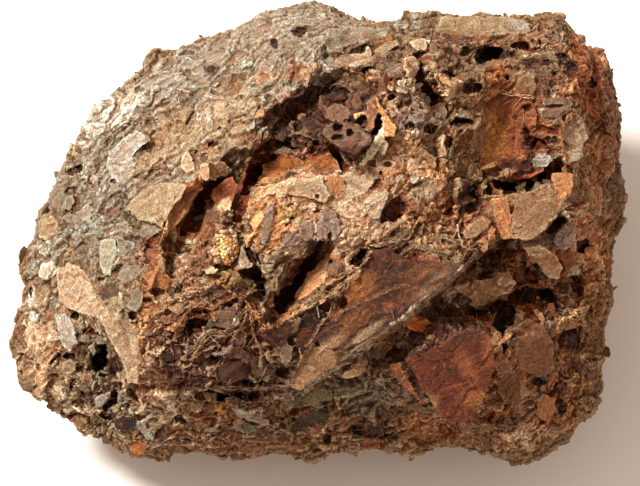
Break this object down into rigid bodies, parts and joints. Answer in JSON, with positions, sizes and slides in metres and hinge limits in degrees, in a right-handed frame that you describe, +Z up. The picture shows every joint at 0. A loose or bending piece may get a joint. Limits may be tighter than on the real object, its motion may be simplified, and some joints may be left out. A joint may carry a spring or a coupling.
{
  "type": "garnierite specimen",
  "caption": "Hand-sized block of brecciated, iron-stained boxwork nickel ore with open hollows and a small crust of yellow-green garnierite beads.",
  "frame": {"origin": "middle of the block's box, on the flat break that it rests on", "axes": "+X along the block's longest side, +Y away from its best face, +Z up from the surface that it rests on"},
  "size_m": [0.1256, 0.0886, 0.0739],
  "materials": {
    "weathered_breccia": "matte",
    "garnierite": "satin"
  },
  "bodies": {
    "root": {"boxwork_rock": "weathered_breccia", "garnierite_beads": "garnierite"}
  },
  "joints": []
}
